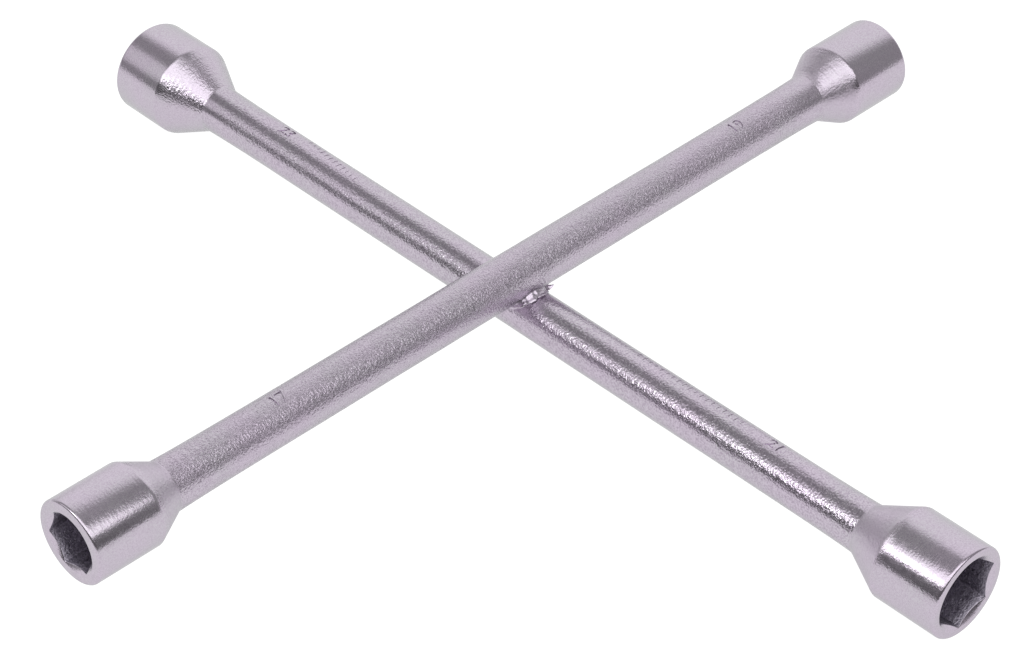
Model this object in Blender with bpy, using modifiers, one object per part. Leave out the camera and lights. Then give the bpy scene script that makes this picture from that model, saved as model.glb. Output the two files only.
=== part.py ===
"""Four-way lug wrench: two round steel bars welded where they cross, with a hexagon wheel-nut socket
on each of the four ends.

Metres, +Z up. The tool lies flat with its bars level. X runs along the upper bar, from the 17 socket
to the 19 socket, and Y along the lower bar, from the 21 socket to the 23 socket. The origin is the
centre of the footprint, level with the lowest point.
"""

import math

import bmesh
import bpy
from mathutils import Matrix, Vector

# Driving dimensions
UPPER_BAR_RADIUS = 0.0080
UPPER_BAR_LENGTH = 0.348  # from mouth to mouth
LOWER_BAR_RADIUS = 0.0078
LOWER_BAR_LENGTH = 0.362
AXIS_SPACING = 0.0123  # height of the upper bar's axis over the lower bar's
WELD_OFFSET = 0.003  # the weld is this far off the upper bar's middle, towards the 19 socket

# Each socket: hexagon size, outer diameter, length of its round body, and how many degrees its hexagon
# is turned about the socket's axis
SOCKETS = {
    "socket_17": {"size": 0.017, "diameter": 0.0275, "body": 0.0235, "turn": 40.0},
    "socket_19": {"size": 0.019, "diameter": 0.0281, "body": 0.0239, "turn": 20.0},
    "socket_21": {"size": 0.021, "diameter": 0.0303, "body": 0.0235, "turn": 50.5},
    "socket_23": {"size": 0.023, "diameter": 0.0324, "body": 0.0206, "turn": 35.0},
}

# Details that the four sockets share
TAPER_SLOPE = math.radians(29)  # of the cone between the round body and the bar
HEX_CLEARANCE = 0.0002  # a socket is this much wider across its flats than its nut
HEX_DEPTH_SHARE = 0.95  # depth of the hexagon as a share of its size
COUNTERSINK_OVER_CORNERS = 0.0003  # the countersink's mouth is this far outside the hexagon's corners
COUNTERSINK_SLOPE = math.radians(30)
PILOT_SHARE = 0.36  # radius of the drilled hole under the hexagon, as a share of its size
PILOT_DEPTH = 0.0035
PILOT_TIP_SLOPE = math.radians(31)
MOUTH_ROUND = 0.0010
SHOULDER_ROUND = 0.0030
NECK_ROUND = 0.0035

FLASH_RADIUS = 0.0022  # of the squeezed-out metal, about the corner between the bars
GAP = 0.0003  # left between pieces that touch
CUT_PAST = 0.0010  # how far a cutter runs past the surface that it cuts
TURNED_STEPS = 48
BAR_STEPS = 64
ARC_STEPS = 3
FLASH_POINTS = 48
CROSSING_CUTTER_LENGTH = 0.06
CREASE_ANGLE = math.radians(30)

LOWER_AXIS_HEIGHT = max(SOCKETS["socket_21"]["diameter"], SOCKETS["socket_23"]["diameter"]) / 2


def clear_scene():
    for old in list(bpy.data.objects):
        bpy.data.objects.remove(old)


def collection_named(name):
    made = bpy.data.collections.new(name)
    bpy.context.scene.collection.children.link(made)
    return made


def material(name, colour, roughness):
    made = bpy.data.materials.new(name)
    made.use_nodes = True
    shader = made.node_tree.nodes["Principled BSDF"]
    shader.inputs["Base Color"].default_value = (*colour, 1.0)
    shader.inputs["Metallic"].default_value = 1.0
    shader.inputs["Roughness"].default_value = roughness
    return made


def empty_at(name, collection, parent=None, location=(0, 0, 0), rotation=(0, 0, 0)):
    made = bpy.data.objects.new(name, None)
    made.empty_display_size = 0.02
    made.location = location
    made.rotation_euler = rotation
    made.parent = parent
    collection.objects.link(made)
    return made


def put(obj, collection, parent, paint=None):
    """Moves a new object into its collection and under its parent, and gives it its material."""
    for old in list(obj.users_collection):
        old.objects.unlink(obj)
    collection.objects.link(obj)
    obj.parent = parent
    if paint:
        obj.data.materials.append(paint)
    return obj


def put_cutter(obj, collection, parent):
    obj.hide_render = True
    obj.display_type = "WIRE"
    return put(obj, collection, parent)


def cut(obj, cutter, operation="DIFFERENCE"):
    boolean = obj.modifiers.new(cutter.name, "BOOLEAN")
    boolean.operation = operation
    boolean.object = cutter


def shade_round(mesh):
    mesh.shade_smooth()
    mesh.set_sharp_from_angle(angle=CREASE_ANGLE)


def cylinder(name, radius, low, high, steps):
    """A cylinder about Z from the height low to the height high."""
    bpy.ops.mesh.primitive_cylinder_add(vertices=steps, radius=radius, depth=high - low)
    made = bpy.context.object
    made.name = name
    made.data.transform(Matrix.Translation((0, 0, (low + high) / 2)))
    return made


def as_mesh(obj):
    """Replaces an object by the closed mesh that its modifiers or its bevel make."""
    bpy.context.view_layer.update()
    evaluated = obj.evaluated_get(bpy.context.evaluated_depsgraph_get())
    mesh = bpy.data.meshes.new_from_object(evaluated)
    shape = bmesh.new()
    shape.from_mesh(mesh)
    bmesh.ops.remove_doubles(shape, verts=shape.verts, dist=1e-6)
    shape.to_mesh(mesh)
    shape.free()
    shade_round(mesh)
    name = obj.name
    made = bpy.data.objects.new(name, mesh)
    made.matrix_world = obj.matrix_world
    bpy.data.objects.remove(obj)
    made.name = name
    bpy.context.scene.collection.objects.link(made)
    return made


def turned(name, profile):
    """A solid turned about Z from (radius, height) points that run down its outer side."""
    mesh = bpy.data.meshes.new(name)
    points = [(radius, 0.0, height) for radius, height in profile]
    mesh.from_pydata(points, [(i, i + 1) for i in range(len(points) - 1)], [])
    obj = bpy.data.objects.new(name, mesh)
    bpy.context.scene.collection.objects.link(obj)
    screw = obj.modifiers.new("turn", "SCREW")
    screw.steps = TURNED_STEPS
    screw.render_steps = TURNED_STEPS
    screw.use_merge_vertices = True
    screw.merge_threshold = 1e-6
    return as_mesh(obj)


def rounded_corner(before, corner, after, radius):
    """Points of the arc that rounds one corner of a profile."""
    corner = Vector(corner)
    to_before = (Vector(before) - corner).normalized()
    to_after = (Vector(after) - corner).normalized()
    half = to_before.angle(to_after) / 2
    reach = radius / math.tan(half)
    centre = corner + (to_before + to_after).normalized() * (radius / math.sin(half))
    start = corner + to_before * reach - centre
    end = corner + to_after * reach - centre
    sweep = -start.angle_signed(end)
    arc = []
    for i in range(ARC_STEPS + 1):
        arc.append(tuple(centre + Matrix.Rotation(sweep * i / ARC_STEPS, 2) @ start))
    return arc


def socket_profile(facts, bar_radius):
    """Outer side of a socket, from the middle of its mouth at height 0 down to the end of its neck."""
    radius = facts["diameter"] / 2
    taper = (radius - bar_radius) / math.tan(TAPER_SLOPE)
    shoulder = (radius, -facts["body"])
    neck = (bar_radius, -facts["body"] - taper)
    below_neck = (bar_radius, neck[1] - taper)
    edge = rounded_corner((0.0, 0.0), (radius, 0.0), shoulder, MOUTH_ROUND)
    bend = rounded_corner((radius, 0.0), shoulder, neck, SHOULDER_ROUND)
    root = rounded_corner(shoulder, neck, below_neck, NECK_ROUND)
    return [(0.0, 0.0), *edge, *bend, *root, (0.0, root[-1][1])]


def hexagon_cutter(name, facts):
    corner_radius = (facts["size"] + HEX_CLEARANCE) / math.sqrt(3)
    cutter = cylinder(name, corner_radius, -facts["size"] * HEX_DEPTH_SHARE, CUT_PAST, steps=6)
    cutter.data.transform(Matrix.Rotation(math.radians(facts["turn"] - 90), 4, "Z"))
    return cutter


def countersink_cutter(name, facts):
    """The cone at the mouth, which the flats of the hexagon cut into scallops."""
    flats = facts["size"] + HEX_CLEARANCE
    mouth = flats / math.sqrt(3) + COUNTERSINK_OVER_CORNERS
    inner = flats / 4
    depth = (mouth - inner) * math.tan(COUNTERSINK_SLOPE)
    outer = mouth + CUT_PAST / math.tan(COUNTERSINK_SLOPE)
    return turned(name, [(0.0, CUT_PAST), (outer, CUT_PAST), (inner, -depth), (0.0, -depth)])


def pilot_cutter(name, facts):
    """The drilled hole that the hexagon was punched over, with its conical tip."""
    radius = facts["size"] * PILOT_SHARE
    floor = -facts["size"] * HEX_DEPTH_SHARE
    wall = floor - PILOT_DEPTH
    tip = wall - radius * math.tan(PILOT_TIP_SLOPE)
    top = floor + CUT_PAST
    return turned(name, [(0.0, top), (radius, top), (radius, wall), (0.0, tip)])


def make_socket(name, bar_radius, mouth, parts, cutters, paint):
    """A socket whose mouth faces along the +Z of the empty given as mouth."""
    facts = SOCKETS[name]
    body = put(turned(name, socket_profile(facts, bar_radius)), parts, mouth, paint)
    for shape in (hexagon_cutter, countersink_cutter, pilot_cutter):
        cut(body, put_cutter(shape(f"{name}_{shape.__name__}", facts), cutters, mouth))
    return body


def make_bar(name, radius, length, offset, ends, axis, parts, cutters, paints):
    """A bar along the +Z of the empty given as axis, with a socket on each end."""
    faces = []
    for socket, side in zip(ends, (-1, 1)):
        mouth_at = side * length / 2 - offset
        turn = (math.pi if side < 0 else 0.0, 0.0, 0.0)
        mouth = empty_at(socket + "_mouth", parts, axis, (0, 0, mouth_at), turn)
        make_socket(socket, radius, mouth, parts, cutters, paints["socket"])
        socket_length = -socket_profile(SOCKETS[socket], radius)[-1][1]
        faces.append(mouth_at - side * (socket_length + GAP))
    bar = cylinder(name, radius, *faces, BAR_STEPS)
    shade_round(bar.data)
    return put(bar, parts, axis, paints["bar"])


def crossing_cylinder(name, radius, axis, cutters):
    """A short cylinder about a bar's axis, centred on the crossing."""
    half = CROSSING_CUTTER_LENGTH / 2
    return put_cutter(cylinder(name, radius, -half, half, BAR_STEPS), cutters, axis)


def make_weld_core(upper_axis, lower_axis, parts, cutters, paint):
    """The fused metal where the two bars are pressed into each other."""
    half = CROSSING_CUTTER_LENGTH / 2
    core = cylinder("weld_core", UPPER_BAR_RADIUS - GAP, -half, half, BAR_STEPS)
    shade_round(core.data)
    cut(core, crossing_cylinder("core_trim", LOWER_BAR_RADIUS - GAP, lower_axis, cutters), "INTERSECT")
    return put(core, parts, upper_axis, paint)


def corner_line():
    """The closed line where the two bars' surfaces meet, with the lower bar's axis at height 0."""
    bottom = AXIS_SPACING - UPPER_BAR_RADIUS
    reach = math.sqrt(LOWER_BAR_RADIUS**2 - bottom**2)
    line = []
    for i in range(FLASH_POINTS):
        angle = math.tau * i / FLASH_POINTS
        x = reach * math.cos(angle)
        z = math.sqrt(LOWER_BAR_RADIUS**2 - x**2)
        y = math.sqrt(max(0.0, UPPER_BAR_RADIUS**2 - (AXIS_SPACING - z) ** 2))
        line.append((x, math.copysign(y, math.sin(angle)), z))
    return line


def make_weld_flash(crossing, rooms, parts, paint):
    """The ring of metal squeezed out of the joint, in the corner between the bars."""
    curve = bpy.data.curves.new("weld_flash", "CURVE")
    curve.dimensions = "3D"
    curve.bevel_depth = FLASH_RADIUS
    curve.bevel_resolution = 2
    path = curve.splines.new("POLY")
    line = corner_line()
    path.points.add(len(line) - 1)
    for point, place in zip(path.points, line):
        point.co = (*place, 1.0)
    path.use_cyclic_u = True
    guide = bpy.data.objects.new("weld_flash", curve)
    bpy.context.scene.collection.objects.link(guide)
    flash = put(as_mesh(guide), parts, crossing, paint)
    for room in rooms:
        cut(flash, room)
    return flash


def main():
    clear_scene()
    parts = collection_named("lug_wrench")
    cutters = collection_named("cutters")
    paints = {
        "bar": material("blasted_chrome", (0.58, 0.55, 0.59), 0.40),
        "socket": material("turned_chrome", (0.64, 0.61, 0.65), 0.26),
        "weld": material("weld_chrome", (0.52, 0.49, 0.53), 0.32),
    }

    # Both axis empties point their +Z along their bar.
    crossing = empty_at("crossing", parts, location=(WELD_OFFSET, 0, LOWER_AXIS_HEIGHT))
    upper_axis = empty_at("upper_axis", parts, crossing, (0, 0, AXIS_SPACING), (0, math.pi / 2, 0))
    lower_axis = empty_at("lower_axis", parts, crossing, rotation=(-math.pi / 2, -math.pi / 2, 0))

    upper_room = crossing_cylinder("upper_bar_room", UPPER_BAR_RADIUS + GAP, upper_axis, cutters)
    lower_room = crossing_cylinder("lower_bar_room", LOWER_BAR_RADIUS + GAP, lower_axis, cutters)
    upper_bar = make_bar(
        "upper_bar", UPPER_BAR_RADIUS, UPPER_BAR_LENGTH, WELD_OFFSET, ("socket_17", "socket_19"),
        upper_axis, parts, cutters, paints,
    )
    lower_bar = make_bar(
        "lower_bar", LOWER_BAR_RADIUS, LOWER_BAR_LENGTH, 0.0, ("socket_21", "socket_23"),
        lower_axis, parts, cutters, paints,
    )
    cut(upper_bar, lower_room)
    cut(lower_bar, upper_room)
    make_weld_core(upper_axis, lower_axis, parts, cutters, paints["weld"])
    make_weld_flash(crossing, (upper_room, lower_room), parts, paints["weld"])


main()
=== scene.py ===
import math

import bmesh
import bpy
from mathutils import Matrix, Vector, noise


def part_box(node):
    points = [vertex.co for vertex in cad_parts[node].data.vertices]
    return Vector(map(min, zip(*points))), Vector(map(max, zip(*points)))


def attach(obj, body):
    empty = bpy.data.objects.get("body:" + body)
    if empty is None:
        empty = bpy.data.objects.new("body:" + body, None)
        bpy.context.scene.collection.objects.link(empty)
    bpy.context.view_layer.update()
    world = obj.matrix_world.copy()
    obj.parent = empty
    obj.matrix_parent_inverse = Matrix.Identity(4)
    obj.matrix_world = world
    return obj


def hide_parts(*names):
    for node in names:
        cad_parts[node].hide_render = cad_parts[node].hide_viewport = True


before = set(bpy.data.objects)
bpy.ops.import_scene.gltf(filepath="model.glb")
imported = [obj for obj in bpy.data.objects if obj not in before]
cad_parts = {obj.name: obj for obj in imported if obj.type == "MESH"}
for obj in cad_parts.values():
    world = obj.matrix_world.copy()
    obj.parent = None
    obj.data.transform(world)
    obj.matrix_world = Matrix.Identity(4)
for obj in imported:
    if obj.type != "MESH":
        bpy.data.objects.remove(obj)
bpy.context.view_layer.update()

mm = 0.001
poleRadius = 0.05 * mm  # a closed end shrinks to this before its pole
creaseAngle = 35.0  # an edge that bends more than this, in degrees, stays crisp


# places and sizes come from the frame
def middle(node):
    low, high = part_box(node)
    return [(a + b) / 2 for a, b in zip(low, high)]


upperAxis = Vector((0, 0, middle("socket_17")[2]))
lowerAxis = Vector((middle("socket_21")[0], 0, middle("socket_21")[2]))
crossing = lowerAxis  # this point of the lower bar's axis lies right under the upper bar's
axisSpacing = upperAxis.z - lowerAxis.z
upperRadius = (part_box("upper_bar")[1][1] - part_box("upper_bar")[0][1]) / 2
lowerRadius = (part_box("lower_bar")[1][0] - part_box("lower_bar")[0][0]) / 2
mouth17, mouth19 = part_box("socket_17")[0][0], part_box("socket_19")[1][0]
mouth21, mouth23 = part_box("socket_21")[0][1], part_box("socket_23")[1][1]
outX = Matrix(((0, 0, 1), (0, 1, 0), (-1, 0, 0))).to_4x4()  # local Z out along +X, local X down
outY = Matrix(((0, 1, 0), (0, 0, 1), (1, 0, 0))).to_4x4()  # local Z out along +Y, local X up
halfTurn = Matrix.Rotation(math.pi, 4, "X")


def ringAfter(bm, edges, place):
    # extrudes an open ring, sets each new point by its angle, and gives the new ring's edges
    made = bmesh.ops.extrude_edge_only(bm, edges=edges)["geom"]
    points = {g for g in made if isinstance(g, bmesh.types.BMVert)}
    for v in points:
        v.co = place(math.atan2(v.co.y, v.co.x))
    newEdges = [g for g in made if isinstance(g, bmesh.types.BMEdge)]
    return [e for e in newEdges if e.verts[0] in points and e.verts[1] in points]


def lathe(rings, steps, turn=0.0, groups=None):
    # a closed solid about Z, with a pole at each end: a ring is a function from an angle to a point, and
    # groups gives the material of the faces that lead up to each ring
    bm = bmesh.new()
    circle = bmesh.ops.create_circle(bm, segments=steps, radius=1.0)
    bmesh.ops.rotate(bm, verts=circle["verts"], matrix=Matrix.Rotation(turn, 3, "Z"))
    edges = list(bm.edges)
    for v in circle["verts"]:
        v.co = rings[0](math.atan2(v.co.y, v.co.x))
    firstRing = list(circle["verts"])
    for i, place in enumerate(rings[1:]):
        known = len(bm.faces)
        edges = ringAfter(bm, edges, place)
        bm.faces.ensure_lookup_table()
        if groups and groups[i + 1]:
            for face in bm.faces[known:]:
                face.material_index = groups[i + 1]
    lastRing = list(dict.fromkeys(v for e in edges for v in e.verts))
    for ring in (firstRing, lastRing):
        centre = sum((v.co for v in ring), Vector()) / len(ring)
        bmesh.ops.pointmerge(bm, verts=ring, merge_co=centre)
    bmesh.ops.recalc_face_normals(bm, faces=bm.faces)
    return bm


def roundRing(radius, height):
    return lambda a: Vector((radius * math.cos(a), radius * math.sin(a), height))


def arcCorner(before, corner, after, radius, steps):
    # points that round one corner of an outline
    corner = Vector(corner)
    back = (Vector(before) - corner).normalized()
    ahead = (Vector(after) - corner).normalized()
    half = back.angle(ahead) / 2
    centre = corner + (back + ahead).normalized() * (radius / math.sin(half))
    start = corner + back * (radius / math.tan(half)) - centre
    end = corner + ahead * (radius / math.tan(half)) - centre
    sweep = -start.angle_signed(end)
    return [centre + Matrix.Rotation(sweep * i / steps, 2) @ start for i in range(steps + 1)]


def shadeRound(mesh, crease):
    mesh.shade_smooth()
    mesh.set_sharp_from_angle(angle=math.radians(crease))


def finish(bm, name, place, materials, crease=creaseAngle):
    # moves the shape to its place and makes the object
    bmesh.ops.transform(bm, matrix=place, verts=bm.verts)
    mesh = bpy.data.meshes.new(name)
    bm.to_mesh(mesh)
    bm.free()
    piece = bpy.data.objects.new(name, mesh)
    bpy.context.scene.collection.objects.link(piece)
    for m in materials:
        mesh.materials.append(m)
    shadeRound(mesh, crease)
    return piece


def standsFor(piece, node):
    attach(piece, "root")
    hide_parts(node)


def newMaterial(name):
    m = bpy.data.materials.new(name)
    m.use_nodes = True
    return m, m.node_tree, m.node_tree.nodes["Principled BSDF"]


def addNode(tree, kind, **settings):
    node = tree.nodes.new(kind)
    for key, value in settings.items():
        setattr(node, key, value)
    return node


def mathNode(tree, operation, first, second):
    # each input is a socket or a number
    node = addNode(tree, "ShaderNodeMath", operation=operation)
    for given, taken in zip((first, second), node.inputs):
        if isinstance(given, (int, float)):
            taken.default_value = given
        else:
            tree.links.new(given, taken)
    return node.outputs[0]


def rangeNode(tree, value, start, end, first=0.0, last=1.0, way="SMOOTHSTEP"):
    # goes from first to last while the value goes from start to end
    node = addNode(tree, "ShaderNodeMapRange", interpolation_type=way)
    for key, number in (("From Min", start), ("From Max", end), ("To Min", first), ("To Max", last)):
        node.inputs[key].default_value = number
    tree.links.new(value, node.inputs["Value"])
    return node.outputs["Result"]


def mixNode(tree, share, first, second):
    # each colour is a socket or three numbers
    node = addNode(tree, "ShaderNodeMix", data_type="RGBA")
    colourInputs = [taken for taken in node.inputs if taken.type == "RGBA"]
    tree.links.new(share, node.inputs[0])
    for given, taken in zip((first, second), colourInputs):
        if isinstance(given, tuple):
            taken.default_value = (*given, 1)
        else:
            tree.links.new(given, taken)
    return next(made for made in node.outputs if made.type == "RGBA")


def noiseNode(tree, place, detail, roughness=0.5):
    node = addNode(tree, "ShaderNodeTexNoise")
    node.inputs["Detail"].default_value = detail
    node.inputs["Roughness"].default_value = roughness
    tree.links.new(place, node.inputs["Vector"])
    return node


grainShape = {
    "fineDetail": 2.0,
    "fineRoughness": 0.6,
    "broadDetail": 1.0,
    "dimpleScale": 0.6,  # dimples are coarser than the fine grain by this
    "dimpleSmooth": 0.5,
    "dimpleShare": 0.5,
}


def shotBlastGroup():
    # peened grain with broader unevenness under it: the bump's height, the grain's crests and slow patches
    g = grainShape
    tree = bpy.data.node_groups.new("shotBlast", "ShaderNodeTree")
    face = tree.interface
    face.new_socket("Vector", in_out="INPUT", socket_type="NodeSocketVector")
    for name in ("Grain", "Lumps", "Lump Share"):
        face.new_socket(name, in_out="INPUT", socket_type="NodeSocketFloat")
    for name in ("Height", "Crest", "Patch"):
        face.new_socket(name, in_out="OUTPUT", socket_type="NodeSocketFloat")
    given = addNode(tree, "NodeGroupInput").outputs
    out = addNode(tree, "NodeGroupOutput").inputs
    fine = noiseNode(tree, given["Vector"], g["fineDetail"], g["fineRoughness"])
    broad = noiseNode(tree, given["Vector"], g["broadDetail"])
    dimples = addNode(tree, "ShaderNodeTexVoronoi", feature="SMOOTH_F1")
    dimples.inputs["Smoothness"].default_value = g["dimpleSmooth"]
    tree.links.new(given["Vector"], dimples.inputs["Vector"])
    tree.links.new(given["Grain"], fine.inputs["Scale"])
    tree.links.new(given["Lumps"], broad.inputs["Scale"])
    tree.links.new(mathNode(tree, "MULTIPLY", given["Grain"], g["dimpleScale"]), dimples.inputs["Scale"])
    dents = mathNode(tree, "MULTIPLY", dimples.outputs["Distance"], g["dimpleShare"])
    swells = mathNode(tree, "MULTIPLY", broad.outputs["Fac"], given["Lump Share"])
    total = mathNode(tree, "ADD", mathNode(tree, "ADD", fine.outputs["Fac"], dents), swells)
    tree.links.new(total, out["Height"])
    tree.links.new(fine.outputs["Fac"], out["Crest"])
    tree.links.new(broad.outputs["Fac"], out["Patch"])
    return tree


shotBlast = shotBlastGroup()

# grain and lumps are in features per metre, and the pit tint is a darker colour deep in the grain: painted
# shade in the grain's pits
# "turned": features per metre of the turning marks, many along the socket's axis and few around it
# "calm": the axis, and the places between which a bar's grain fades towards its far socket
# "cone": the axis, and the distances out at which the grainier cones turn into the smooth bodies
# "dullBelow": of these, only the cones whose coordinate on that axis is below this are duller
finishes = {
    "upperBarChrome": {"grain": 1900, "lumps": 800, "lumpShare": 0.3, "bump": 1.0, "distance": 0.21 * mm,
                       "rough": 0.18, "spread": 0.04, "calm": ("X", 118 * mm, 138 * mm)},
    "lowerBarChrome": {"grain": 1600, "lumps": 900, "lumpShare": 0.12, "bump": 0.9, "distance": 0.135 * mm,
                       "rough": 0.09, "spread": 0.02, "pitShade": (0.445, 0.380, 0.465),
                       "calm": ("Y", 128 * mm, 145 * mm)},
    "socketChromeX": {"grain": 1900, "lumps": 500, "lumpShare": 0.4, "bump": 0.27, "distance": 0.115 * mm,
                      "rough": 0.19, "spread": 0.03, "turned": (1500, 60, 60),
                      "pitShade": (0.535, 0.465, 0.555),
                      "cone": ("X", 147.5 * mm, 151.0 * mm), "dullBelow": 1.0},
    "socketChromeY": {"grain": 1900, "lumps": 500, "lumpShare": 0.4, "bump": 0.27, "distance": 0.115 * mm,
                      "rough": 0.19, "spread": 0.03, "turned": (60, 1500, 60),
                      "pitShade": (0.535, 0.465, 0.555),
                      "cone": ("Y", 156.5 * mm, 160.5 * mm), "dullBelow": 0.0},
    # painted shade: the hexagon recess has a darker colour and darker pits than the outer plating; its
    # higher roughness is its duller finish
    "hexChromePaintedShade": {"grain": 1900, "lumps": 600, "lumpShare": 0.3, "bump": 0.8, "distance": 0.20 * mm,
                  "rough": 0.42, "spread": 0.08, "colour": (0.50, 0.465, 0.545),
                  "pitShade": (0.29, 0.265, 0.32)},
    "weldChrome": {"grain": 1800, "lumps": 600, "lumpShare": 0.6, "bump": 0.35, "distance": 0.12 * mm,
                   "rough": 0.22, "spread": 0.05},
}
plate = {
    "colour": (0.624, 0.546, 0.647),
    "cloud": (0.602, 0.558, 0.622),  # slow patches of a greyer tint
    "cloudSize": 70,
    "cloudDetail": 2.0,
    "cloudFrom": 0.35,
    "cloudTo": 0.65,
    # painted shade: the grain's pits are tinted darker than its crests
    "pitShade": (0.475, 0.405, 0.495),
    "crestFrom": 0.3,  # the tint goes from the painted shade in the pits to the crest colour between these
    "crestTo": 0.6,
    "patchFrom": 0.3,  # patches go from dull to shiny between these
    "patchTo": 0.7,
    "edge": (0.82, 0.86, 0.82),  # tint at a glancing angle
    "turnedDetail": 1.0,
    "turnedShare": 0.7,
    "calmShare": 0.2,  # what is left of the grain beside a far socket, and how much duller it is
    "calmRough": 0.10,
    "coneGrain": 4.2,  # the cones have this much more grain, and are this much duller
    "coneRough": 0.12,
}


def chrome(name):
    f, p = finishes[name], plate
    m, tree, shader = newMaterial(name)
    place = addNode(tree, "ShaderNodeTexCoord").outputs["Object"]
    axes = addNode(tree, "ShaderNodeSeparateXYZ")
    tree.links.new(place, axes.inputs[0])
    surface = addNode(tree, "ShaderNodeGroup", node_tree=shotBlast)
    for key, number in (("Grain", f["grain"]), ("Lumps", f["lumps"]), ("Lump Share", f["lumpShare"])):
        surface.inputs[key].default_value = number
    tree.links.new(place, surface.inputs["Vector"])

    height = surface.outputs["Height"]
    dull = rangeNode(tree, surface.outputs["Patch"], p["patchFrom"], p["patchTo"],
                     f["rough"] + f["spread"], f["rough"] - f["spread"], "LINEAR")
    if "turned" in f:
        around = addNode(tree, "ShaderNodeMapping")
        around.inputs["Scale"].default_value = f["turned"]
        tree.links.new(place, around.inputs["Vector"])
        marks = noiseNode(tree, around.outputs["Vector"], p["turnedDetail"])
        marks.inputs["Scale"].default_value = 1.0
        depth = mathNode(tree, "MULTIPLY", marks.outputs["Fac"], p["turnedShare"])
        height = mathNode(tree, "ADD", height, depth)
    if "calm" in f:
        axis, start, end = f["calm"]
        along = axes.outputs[axis]
        height = mathNode(tree, "MULTIPLY", height, rangeNode(tree, along, start, end, 1.0, p["calmShare"]))
        dull = mathNode(tree, "ADD", dull, rangeNode(tree, along, start, end, 0.0, p["calmRough"]))
    if "cone" in f:
        axis, start, end = f["cone"]
        out = mathNode(tree, "ABSOLUTE", axes.outputs[axis], 0.0)
        height = mathNode(tree, "MULTIPLY", height, rangeNode(tree, out, start, end, p["coneGrain"], 1.0))
        duller = mathNode(tree, "MULTIPLY", rangeNode(tree, out, start, end, p["coneRough"], 0.0),
                          mathNode(tree, "LESS_THAN", axes.outputs[axis], f["dullBelow"]))
        dull = mathNode(tree, "ADD", dull, duller)

    clouds = noiseNode(tree, place, p["cloudDetail"])
    clouds.inputs["Scale"].default_value = p["cloudSize"]
    grey = rangeNode(tree, clouds.outputs["Fac"], p["cloudFrom"], p["cloudTo"], way="LINEAR")
    # a finish with its own colour, the hexagon recess darkened by painted shade, has no cloud patches
    patches = mixNode(tree, grey, f.get("colour", p["colour"]), f.get("colour", p["cloud"]))
    crest = rangeNode(tree, surface.outputs["Crest"], p["crestFrom"], p["crestTo"], way="LINEAR")
    # painted shade: the base colour is darker in the grain's pits and lighter on its crests
    tint = mixNode(tree, crest, f.get("pitShade", p["pitShade"]), patches)
    bump = addNode(tree, "ShaderNodeBump")
    bump.inputs["Strength"].default_value = f["bump"]
    bump.inputs["Distance"].default_value = f["distance"]
    tree.links.new(height, bump.inputs["Height"])
    tree.links.new(bump.outputs["Normal"], shader.inputs["Normal"])
    tree.links.new(tint, shader.inputs["Base Color"])
    tree.links.new(dull, shader.inputs["Roughness"])
    shader.inputs["Metallic"].default_value = 1.0
    shader.inputs["Specular Tint"].default_value = (*p["edge"], 1)
    return m


chromes = {name: chrome(name) for name in finishes}
print("materials made")

socketShape = {
    "steps": 288,
    "coneSlope": math.radians(27.5),
    "mouthRound": 1.0 * mm,
    "mouthSteps": 8,
    "shoulderRound": 2.6 * mm,
    "shoulderSteps": 10,
    "neckSteps": 8,
    "hexClearance": 0.2 * mm,
    "hexDepth": 0.95,  # as a share of the size
    "cornerFillet": 0.45 * mm,
    "overCorners": 0.3 * mm,  # the countersink is this much wider than the hexagon
    "sinkSlope": math.radians(30),
    "sinkRound": 0.3 * mm,
    "sinkSteps": 3,
    "innerEdge": 0.16 * mm,
    "innerRings": ((0.35, -0.05), (0.0, -0.7)),  # place of the rings over that edge, as shares of it
    "wallRings": (0.2, 0.35, 0.55, 0.75, 0.97),  # as shares of the depth
    "floorInset": 0.4 * mm,
    "pilot": 0.36,  # radius of the drilled hole as a share of the size
    "pilotEdge": 0.3 * mm,
    "pilotDepth": 3.5 * mm,
    "tipSlope": math.radians(31),
    "neckEnd": 3.0 * mm,  # how far the socket reaches past its neck, and how deep under the bar's skin
    "underSkin": 0.15 * mm,
}
swell = {"height": 0.42 * mm, "fade": 13 * mm}  # the bars thicken a little towards their sockets
sockets = {  # size, length of the round body, rounding of the neck, turn of the hexagon
    "socket_17": (17 * mm, 23.5 * mm, 2.0 * mm, 40.0),
    "socket_19": (19 * mm, 23.9 * mm, 12.0 * mm, 20.0),
    "socket_21": (21 * mm, 23.5 * mm, 2.2 * mm, 50.5),
    "socket_23": (23 * mm, 20.6 * mm, 2.4 * mm, 35.0),
}


def swollen(radius, distance):
    return radius + swell["height"] * math.exp(-max(0.0, distance) / swell["fade"])


def neckPlace(name, barRadius):
    # distance from the mouth to the corner where the cone meets the bar
    low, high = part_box(name)
    radius = (high[2] - low[2]) / 2
    return sockets[name][1] + (radius - swollen(barRadius, 0)) / math.tan(socketShape["coneSlope"])


def hexRadius(angle, turn, flats, fillet):
    # distance from the axis to a hexagon with rounded corners
    off = (angle - turn + math.pi / 6) % (math.pi / 3) - math.pi / 6  # from the nearest corner
    centre = (flats / 2 - fillet) / math.cos(math.pi / 6)
    reach = math.atan2(fillet / 2, centre + fillet * math.cos(math.pi / 6))
    if abs(off) < reach:
        return centre * math.cos(off) + math.sqrt(fillet**2 - (centre * math.sin(off)) ** 2)
    return flats / 2 / math.cos(math.pi / 6 - abs(off))


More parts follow.
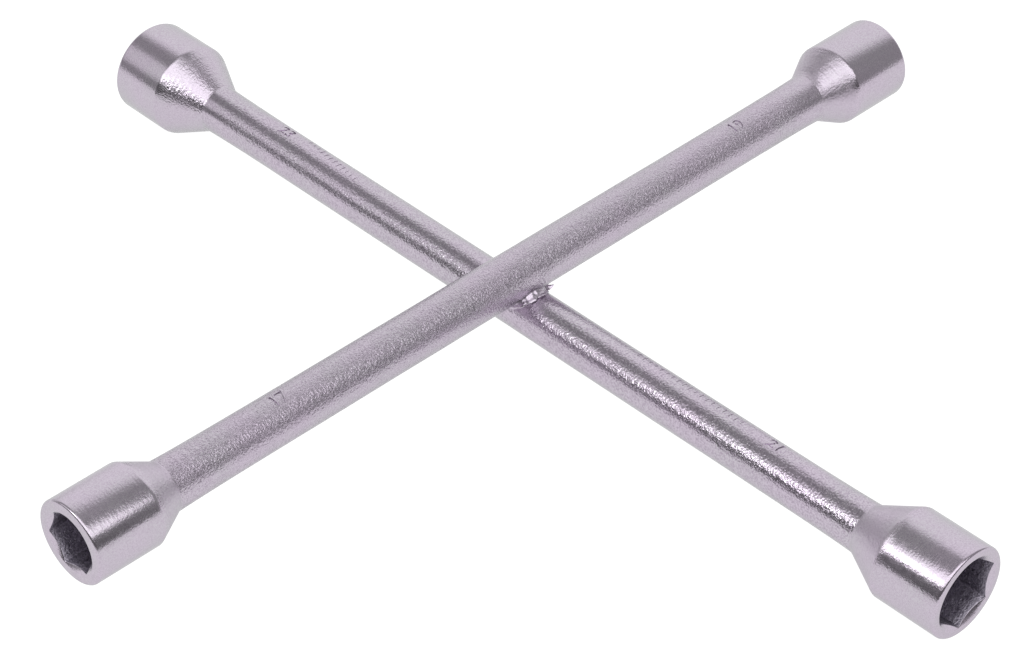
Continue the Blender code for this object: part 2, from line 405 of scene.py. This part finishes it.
def makeSocket(name, barRadius, spot, way, chromePlate):
    size, body, neckRound, turnDegrees = sockets[name]
    s = socketShape
    low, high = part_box(name)
    radius = (high[2] - low[2]) / 2
    turn = math.radians(turnDegrees)
    flats = size + s["hexClearance"]
    sink = flats / math.sqrt(3) + s["overCorners"]
    depth = size * s["hexDepth"]
    pilot = size * s["pilot"]
    wall = -depth - s["pilotDepth"]
    tip = pilot * math.tan(s["tipSlope"])
    neck = (swollen(barRadius, 0), -neckPlace(name, barRadius))
    under = (swollen(barRadius, s["neckEnd"]) - s["underSkin"], neck[1] - s["neckEnd"])
    shoulder, mouth = (radius, -body), (radius, 0)
    intoSink = (sink - mm, -mm * math.tan(s["sinkSlope"]))

    outline = [(poleRadius, under[1]), under]
    outline += arcCorner(under, neck, shoulder, neckRound, s["neckSteps"])
    outline += arcCorner(neck, shoulder, mouth, s["shoulderRound"], s["shoulderSteps"])
    outline += arcCorner(shoulder, mouth, (0, 0), s["mouthRound"], s["mouthSteps"])
    outline += arcCorner(mouth, (sink, 0), intoSink, s["sinkRound"], s["sinkSteps"])
    rings = [roundRing(r, z) for r, z in outline]
    groups = [0] * len(rings)

    def sinkRing(inset, rise):
        # a ring along the line where the countersink meets the hexagon
        def point(a):
            r = hexRadius(a, turn, flats, s["cornerFillet"])
            z = -(sink - r) * math.tan(s["sinkSlope"])
            return Vector(((r + inset) * math.cos(a), (r + inset) * math.sin(a), z + rise))
        return point

    def hexRing(z, inset=0.0):
        def point(a):
            r = hexRadius(a, turn, flats, s["cornerFillet"]) - inset
            return Vector((r * math.cos(a), r * math.sin(a), z))
        return point

    edge = s["innerEdge"]
    rings.append(sinkRing(edge, edge * math.tan(s["sinkSlope"])))
    rings += [sinkRing(inset * edge, rise * edge) for inset, rise in s["innerRings"]]
    groups += [0, 0, 1]
    cavity = [hexRing(-depth * share) for share in s["wallRings"]]
    cavity += [hexRing(-depth, s["floorInset"]), roundRing(pilot + s["pilotEdge"], -depth)]
    cavity += [roundRing(pilot, -depth - s["pilotEdge"]), roundRing(pilot, wall)]
    cavity += [roundRing(pilot / 2, wall - tip / 2), roundRing(poleRadius, wall - tip)]
    rings += cavity
    groups += [1] * len(cavity)
    bm = lathe(rings, s["steps"], turn, groups)
    place = Matrix.Translation(spot) @ way
    # the second material darkens the hexagon recess with painted shade
    piece = finish(bm, name + "_turned", place, [chromePlate, chromes["hexChromePaintedShade"]])
    standsFor(piece, name)


onX, onY = chromes["socketChromeX"], chromes["socketChromeY"]
makeSocket("socket_19", upperRadius, (mouth19, 0, upperAxis.z), outX, onX)
makeSocket("socket_17", upperRadius, (mouth17, 0, upperAxis.z), outX @ halfTurn, onX)
makeSocket("socket_23", lowerRadius, (lowerAxis.x, mouth23, lowerAxis.z), outY, onY)
makeSocket("socket_21", lowerRadius, (lowerAxis.x, mouth21, lowerAxis.z), outY @ halfTurn, onY)
print("sockets made")

barShape = {
    "steps": 160,
    "spacing": 1.1 * mm,
    "wave": 0.05 * mm,  # slow unevenness of the bar, mostly inwards
    "waveSize": 22 * mm,
    "waveInward": 0.35,
    "upperSeed": 3.0,  # each bar's own place in the noise
    "lowerSeed": 11.0,
    "calm": 6 * mm,  # the unevenness fades out this close to the sockets
    "into": 0.3 * mm,  # how far a bar's skin runs into its sockets
    "endStep": 0.3 * mm,
}
# lumps raised or dented by the welding: place along the bar, angle about it, height and size
upperLumps = [(crossing.x + 5.2 * mm, math.radians(-82), 0.45 * mm, 2.6 * mm),
              (crossing.x - 0.5 * mm, math.radians(-100), -0.18 * mm, 2.4 * mm)]


def makeBar(name, radius, necks, place, seed, chromePlate, lumps):
    b = barShape
    lowNeck, highNeck = necks
    lowEnd, highEnd = lowNeck - b["into"], highNeck + b["into"]
    count = round((highEnd - lowEnd) / b["spacing"])
    rings = [roundRing(poleRadius, lowEnd), roundRing(radius - b["endStep"], lowEnd)]

    def ringAt(z):
        edge = max(0.0, min(1.0, (z - lowEnd) / b["calm"], (highEnd - z) / b["calm"]))
        thick = swollen(radius, min(z - lowNeck, highNeck - z))

        def point(a):
            spot = Vector((math.cos(a), math.sin(a), z / b["waveSize"] + seed))
            r = thick + b["wave"] * edge * (noise.noise(spot) - b["waveInward"])
            for along, angle, height, size in lumps:
                off = (a - angle + math.pi) % math.tau - math.pi
                r += height * math.exp(-((z - along) ** 2 + (off * radius) ** 2) / size**2)
            return Vector((r * math.cos(a), r * math.sin(a), z))
        return point

    for i in range(count + 1):
        rings.append(ringAt(lowEnd + (highEnd - lowEnd) * i / count))
    rings += [roundRing(radius - b["endStep"], highEnd), roundRing(poleRadius, highEnd)]
    return finish(lathe(rings, b["steps"]), name + "_blasted", place, [chromePlate])


stampShape = {
    "textSize": 6.0 * mm,
    "thicken": 0.10 * mm,
    "curveSteps": 4,
    "join": 0.005 * mm,  # points of the digits closer than this are one
    "depth": 0.32 * mm,
    "above": 0.5 * mm,  # how far a mark's cutter stands out of the bar
    "slice": 0.5 * mm,  # a mark is cut this fine so that it can bend round the bar
    "slices": 5,  # cuts on each side of its middle
    "strokeWidth": 0.42 * mm,
    "strokeHeight": 2.0 * mm,
    "strokeUneven": 0.9,
    "strokeDepth": 0.13 * mm,
}
digits = {  # distance from the socket's mouth to the middle of the digits, and their turn about the bar
    "17": (77.2 * mm, 5.7),
    "19": (72.6 * mm, 10.0),
    "21": (74.2 * mm, -8.0),
    "23": (70.0 * mm, -7.6),
}
# two rows of plain strokes: number of strokes, and the place and turn where each row starts and ends
strokeRows = [(12, mouth23 - 79.5 * mm, -25.0, mouth23 - 105.0 * mm, 3.0),
              (19, mouth21 + 131.0 * mm, -20.0, mouth21 + 88.0 * mm, -11.0)]


def digitCutter(text):
    # a flat slab in the shape of the digits, about its own middle
    s = stampShape
    curve = bpy.data.curves.new("digits", "FONT")
    curve.body = text
    curve.size = s["textSize"]
    curve.align_x = "CENTER"
    curve.align_y = "CENTER"
    curve.offset = s["thicken"]
    curve.extrude = s["above"]
    curve.resolution_u = s["curveSteps"]
    guide = bpy.data.objects.new("digits", curve)
    bpy.context.scene.collection.objects.link(guide)
    bpy.context.view_layer.update()
    mesh = bpy.data.meshes.new_from_object(guide.evaluated_get(bpy.context.evaluated_depsgraph_get()))
    bpy.data.objects.remove(guide)
    bm = bmesh.new()
    bm.from_mesh(mesh)
    bmesh.ops.remove_doubles(bm, verts=bm.verts, dist=s["join"])
    return bm


def strokeCutter(number):
    # each stroke has its own height
    s = stampShape
    spot = Vector((number * 0.73, 0.4, 0.2))  # any place in the noise that is its own
    height = s["strokeHeight"] * (1 + s["strokeUneven"] * noise.noise(spot))
    bm = bmesh.new()
    bmesh.ops.create_cube(bm, size=1.0)
    bmesh.ops.scale(bm, verts=bm.verts, vec=(s["strokeWidth"], height, 2 * s["above"]))
    return bm


def wrapped(bm, depth, toBar):
    # slices the slab and lays it round the bar, sunk to the depth given
    s = stampShape
    for i in range(-s["slices"], s["slices"] + 1):
        bmesh.ops.bisect_plane(bm, geom=bm.verts[:] + bm.edges[:] + bm.faces[:],
                               plane_co=(0, i * s["slice"], 0), plane_no=(0, 1, 0))
    for v in bm.verts:
        v.co = toBar(v.co.x, v.co.y, s["above"] if v.co.z > 0 else -depth)
    return bm


def onUpper(x, degrees):
    # marks read along +X with their tops towards +Y
    def toBar(u, v, w):
        a = math.radians(degrees) - v / upperRadius
        r = upperRadius + w
        return upperAxis + Vector((x + u, -r * math.sin(a), r * math.cos(a)))
    return toBar


def onLower(y, degrees):
    # marks read along -Y with their tops towards +X
    def toBar(u, v, w):
        a = math.radians(degrees) - v / lowerRadius
        r = lowerRadius + w
        return lowerAxis + Vector((-r * math.sin(a), y - u, r * math.cos(a)))
    return toBar


def digitMark(text, mouth, inward, onBar):
    distance, turned = digits[text]
    return wrapped(digitCutter(text), stampShape["depth"], onBar(mouth + inward * distance, turned))


def stamp(piece, cutters):
    # sinks all the marks into the bar at once
    joined = bmesh.new()
    for bm in cutters:
        mesh = bpy.data.meshes.new("mark")
        bm.to_mesh(mesh)
        bm.free()
        joined.from_mesh(mesh)
        bpy.data.meshes.remove(mesh)
    bmesh.ops.recalc_face_normals(joined, faces=joined.faces)
    tool = finish(joined, "marks", Matrix.Identity(4), [])
    cut = piece.modifiers.new("marks", "BOOLEAN")
    cut.object = tool
    bpy.context.view_layer.update()
    mesh = bpy.data.meshes.new_from_object(piece.evaluated_get(bpy.context.evaluated_depsgraph_get()))
    piece.modifiers.clear()
    piece.data = mesh
    bpy.data.objects.remove(tool)
    shadeRound(mesh, creaseAngle)


upperNecks = (mouth17 + neckPlace("socket_17", upperRadius),
              mouth19 - neckPlace("socket_19", upperRadius))
lowerNecks = (mouth21 + neckPlace("socket_21", lowerRadius),
              mouth23 - neckPlace("socket_23", lowerRadius))
upperBar = makeBar("upper_bar", upperRadius, upperNecks, Matrix.Translation(upperAxis) @ outX,
                   barShape["upperSeed"], chromes["upperBarChrome"], upperLumps)
lowerBar = makeBar("lower_bar", lowerRadius, lowerNecks, Matrix.Translation(lowerAxis) @ outY,
                   barShape["lowerSeed"], chromes["lowerBarChrome"], [])

upperMarks = [digitMark("17", mouth17, 1, onUpper), digitMark("19", mouth19, -1, onUpper)]
lowerMarks = [digitMark("21", mouth21, 1, onLower), digitMark("23", mouth23, -1, onLower)]
for count, firstY, firstTurn, lastY, lastTurn in strokeRows:
    for i in range(count):
        share = i / (count - 1)
        y, turned = firstY + (lastY - firstY) * share, firstTurn + (lastTurn - firstTurn) * share
        lowerMarks.append(wrapped(strokeCutter(i + count), stampShape["strokeDepth"], onLower(y, turned)))
stamp(upperBar, upperMarks)
stamp(lowerBar, lowerMarks)
standsFor(upperBar, "upper_bar")
standsFor(lowerBar, "lower_bar")
print("bars made")

flashShape = {
    "around": 300,
    "section": 32,
    "hoop": 4.0,  # the lip is bent from a hoop of this radius, with a section of radius 1
    "angleStep": 0.01,
    "root": 0.9 * mm,  # how far the lip's root lies inside the corner
    "small": 0.55 * mm,  # reach of the lip where little metal came out
    "lip": 2.8 * mm,  # reach of the folded lip on the near side
    "lipMiddle": math.radians(-92),
    "lipSpread": math.radians(64),
    "lipPower": 0.8,
    "spike": 2.6 * mm,
    "spikeAt": math.radians(-27),
    "spikeSpread": math.radians(7),
    "spikeWay": Vector((0.80, -0.58, 0.16)),
    "back": 1.3 * mm,  # extra reach on the far side
    "backMiddle": math.pi / 2,
    "backSpread": 1.0,
    "patternSize": 2.6,  # radius of the circle along which the unevenness is drawn from the noise
    "uneven": 0.25,
    "unevenSize": 1.9,
    "thickness": 0.6 * mm,
    "fillet": 1.7 * mm,  # thicker by this much where the lip is widest
    "taper": 0.8,
    "lean": 0.75,  # how much the lip lies down on the lower bar
    "strands": 6,
    "twist": 1.3,
    "wander": 1.3,
    "wanderAt": Vector((0, 0, 7)),
    "strandHeight": 0.20 * mm,
    "strandFar": 0.4,  # share of that height on the far side
    "strandRise": 2,  # the strands reach their full height at one part in this of the reach
    "crease": 40.0,
}


def cornerPoint(a):
    # the closed line where the two bars' surfaces meet, about the crossing
    bottom = axisSpacing - upperRadius
    x = math.sqrt(lowerRadius**2 - bottom**2) * math.cos(a)
    z = math.sqrt(lowerRadius**2 - x**2)
    y = math.sqrt(max(0.0, upperRadius**2 - (axisSpacing - z) ** 2))
    return Vector((x, math.copysign(y, math.sin(a)), z))


def hump(a, at, spread):
    off = (a - at + math.pi) % math.tau - math.pi
    return math.exp(-((off / spread) ** 2))


def makeFlash():
    # the squeezed-out lip follows the corner between the two bars all the way round
    f = flashShape
    bm = bmesh.new()
    circle = bmesh.ops.create_circle(bm, segments=f["section"], radius=1.0)
    bmesh.ops.rotate(bm, verts=circle["verts"], matrix=Matrix.Rotation(math.pi / 2, 3, "X"))
    bmesh.ops.translate(bm, verts=circle["verts"], vec=(f["hoop"], 0, 0))
    bmesh.ops.spin(bm, geom=bm.verts[:] + bm.edges[:], axis=(0, 0, 1), cent=(0, 0, 0), angle=math.tau,
                   steps=f["around"], use_merge=True)
    for v in bm.verts:
        a = math.atan2(v.co.y, v.co.x)
        b, c = math.hypot(v.co.x, v.co.y) - f["hoop"], v.co.z
        corner = cornerPoint(a)
        lowNormal = Vector((corner.x, 0, corner.z)).normalized()
        upNormal = Vector((0, corner.y, corner.z - axisSpacing)).normalized()
        between = (upNormal + lowNormal).normalized()
        along = (cornerPoint(a + f["angleStep"]) - cornerPoint(a - f["angleStep"])).normalized()
        onLow = lowNormal.cross(along).normalized()
        if onLow.dot(between) < 0:
            onLow = -onLow
        spiky = hump(a, f["spikeAt"], f["spikeSpread"])
        way = between.lerp(onLow, f["lean"]).normalized().lerp(f["spikeWay"], spiky).normalized()
        across = (lowNormal - way * lowNormal.dot(way)).normalized()
        near = hump(a, f["lipMiddle"], f["lipSpread"])
        far = hump(a, f["backMiddle"], f["backSpread"])
        spot = Vector((math.cos(a), math.sin(a), 0.0)) * f["patternSize"]
        reach = f["small"] + f["lip"] * near ** f["lipPower"] + f["back"] * far
        reach = reach * (1 + f["uneven"] * noise.noise(spot * f["unevenSize"])) + f["spike"] * spiky
        ahead = max(0.0, b)
        turn = math.atan2(c, b)
        wander = f["wander"] * noise.noise(spot + f["wanderAt"])
        strand = math.cos(f["strands"] * turn + f["twist"] * a + wander)
        out = f["root"] * min(0.0, b) + reach * ahead
        up = (f["thickness"] + f["fillet"] * near * (1 - spiky)) * c * (1 - f["taper"] * ahead)
        grow = f["strandHeight"] * strand * min(1.0, f["strandRise"] * ahead)
        grow *= f["strandFar"] + (1 - f["strandFar"]) * near
        v.co = corner + way * (out + grow * b / 2) + across * (up + grow * c)
    bmesh.ops.recalc_face_normals(bm, faces=bm.faces)
    piece = finish(bm, "weld_flash_lip", Matrix.Translation(crossing), [chromes["weldChrome"]], f["crease"])
    standsFor(piece, "weld_flash")


makeFlash()
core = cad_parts["weld_core"]
core.data.materials.clear()
core.data.materials.append(chromes["weldChrome"])
print("weld made")

studio = {
    "back": Vector((0.81, 0.51, 0.37)),  # towards the white sweep behind the tool
    "backFrom": 0.55,
    "backTo": 0.88,
    "front": Vector((-0.740, -0.673, 0)),  # towards the soft window in front of it
    "windowFrom": 0.05,
    "windowTo": 0.17,
    "sillFrom": 0.44,
    "sillTo": 0.58,
    "window": 1.6,
    "ceilingFrom": 0.93,
    "ceilingTo": 0.99,
    "ceiling": 0.72,
    "glint": Vector((-0.528, 0.675, 0.515)),  # towards a dim panel on the left
    "glintFrom": 0.92,
    "glintTo": 0.985,
    "glintLevel": 0.8,
    "panel": Vector((0.085, 0.985, 0.134)),  # towards a low panel on the left
    "panelFrom": 0.90,
    "panelTo": 0.97,
    "panelLevel": 0.7,
    "side": 0.34,  # brightness of the room at the sides, and low down in front
    "low": 0.11,
    "sideFrom": -0.1,
    "lowTo": 0.6,
    "floorSize": 30.0,
    "floorDrop": 0.02 * mm,
    "floorSeen": 0.95,  # how bright the floor looks, and how bright it is in the chrome
    "floorGlow": 0.78,
    "floorPaint": 0.2,
    "lamp": Vector((-0.62, 0.187, 0.494)),
    "lampSize": 0.17,
    "lampPower": 0.32,
}


def makeFloor():
    s = studio
    bm = bmesh.new()
    bmesh.ops.create_grid(bm, x_segments=1, y_segments=1, size=s["floorSize"] / 2)
    m, tree, shader = newMaterial("floorPaper")
    shader.inputs["Base Color"].default_value = (s["floorPaint"],) * 3 + (1,)
    shader.inputs["Roughness"].default_value = 1.0
    shader.inputs["Specular IOR Level"].default_value = 0.0
    shader.inputs["Emission Color"].default_value = (1, 1, 1, 1)
    seen = addNode(tree, "ShaderNodeLightPath").outputs["Is Camera Ray"]
    glow = rangeNode(tree, seen, 0.0, 1.0, s["floorGlow"], s["floorSeen"], "LINEAR")
    tree.links.new(glow, shader.inputs["Emission Strength"])
    floor = finish(bm, "floor", Matrix.Translation((0, 0, -s["floorDrop"])), [m])


def makeWorld():
    # a white sweep behind, a wide soft window in front, and a dim room between them
    s = studio
    world = bpy.data.worlds.new("studio")
    bpy.context.scene.world = world
    world.use_nodes = True
    tree = world.node_tree
    light = tree.nodes["Background"]
    way = addNode(tree, "ShaderNodeTexCoord").outputs["Generated"]

    def towards(direction):
        dot = addNode(tree, "ShaderNodeVectorMath", operation="DOT_PRODUCT")
        dot.inputs[1].default_value = direction
        tree.links.new(way, dot.inputs[0])
        return dot.outputs["Value"]

    forward = towards(s["front"])
    upward = towards((0, 0, 1))
    room = rangeNode(tree, forward, s["sideFrom"], s["lowTo"], s["side"], s["low"])
    sweep = rangeNode(tree, towards(s["back"]), s["backFrom"], s["backTo"])
    inFront = rangeNode(tree, forward, s["windowFrom"], s["windowTo"], 0.0, s["window"])
    window = mathNode(tree, "MULTIPLY", inFront, rangeNode(tree, upward, s["sillFrom"], s["sillTo"]))
    ceiling = rangeNode(tree, upward, s["ceilingFrom"], s["ceilingTo"], 0.0, s["ceiling"])
    glint = rangeNode(tree, towards(s["glint"]), s["glintFrom"], s["glintTo"], 0.0, s["glintLevel"])
    panel = rangeNode(tree, towards(s["panel"]), s["panelFrom"], s["panelTo"], 0.0, s["panelLevel"])
    seen = addNode(tree, "ShaderNodeLightPath").outputs["Is Camera Ray"]
    strongest = room
    for part in (sweep, window, ceiling, glint, panel, seen):
        strongest = mathNode(tree, "MAXIMUM", strongest, part)
    tree.links.new(strongest, light.inputs["Strength"])
    light.inputs["Color"].default_value = (1, 1, 1, 1)


def makeLamp():
    light = bpy.data.lights.new("lamp", "AREA")
    light.shape = "DISK"
    light.size = studio["lampSize"]
    light.energy = studio["lampPower"]
    lamp = bpy.data.objects.new("lamp", light)
    lamp.location = studio["lamp"]
    lamp.rotation_euler = studio["lamp"].to_track_quat("Z", "Y").to_euler()
    lamp.visible_camera = False
    bpy.context.scene.collection.objects.link(lamp)


view = {
    "azimuth": math.radians(-45),
    "elevation": math.radians(39.53),
    "roll": math.radians(0.76),
    "distance": 0.9645,
    "lens": 106.6,
    "sensor": 36.0,
    "nearest": 0.05,
    "right": -0.3 * mm,  # the aim is this far from the crossing, in the picture's plane
    "up": -8.24 * mm,
}


def makeCamera():
    a, e, roll = view["azimuth"], view["elevation"], view["roll"]
    back = Vector((math.sin(a) * math.cos(e), -math.cos(a) * math.cos(e), math.sin(e)))
    level = (-back).cross(Vector((0, 0, 1))).normalized()
    upright = level.cross(-back)
    right = math.cos(roll) * level + math.sin(roll) * upright
    up = math.cos(roll) * upright - math.sin(roll) * level
    data = bpy.data.cameras.new("camera")
    data.lens = view["lens"]
    data.sensor_width = view["sensor"]
    data.clip_start = view["nearest"]
    camera = bpy.data.objects.new("camera", data)
    place = crossing + back * view["distance"] + right * view["right"] + up * view["up"]
    camera.matrix_world = Matrix.Translation(place) @ Matrix((right, up, back)).transposed().to_4x4()
    bpy.context.scene.collection.objects.link(camera)
    bpy.context.scene.camera = camera


makeFloor()
makeWorld()
makeLamp()
makeCamera()
bpy.context.scene.view_settings.view_transform = "Standard"
print("studio made")
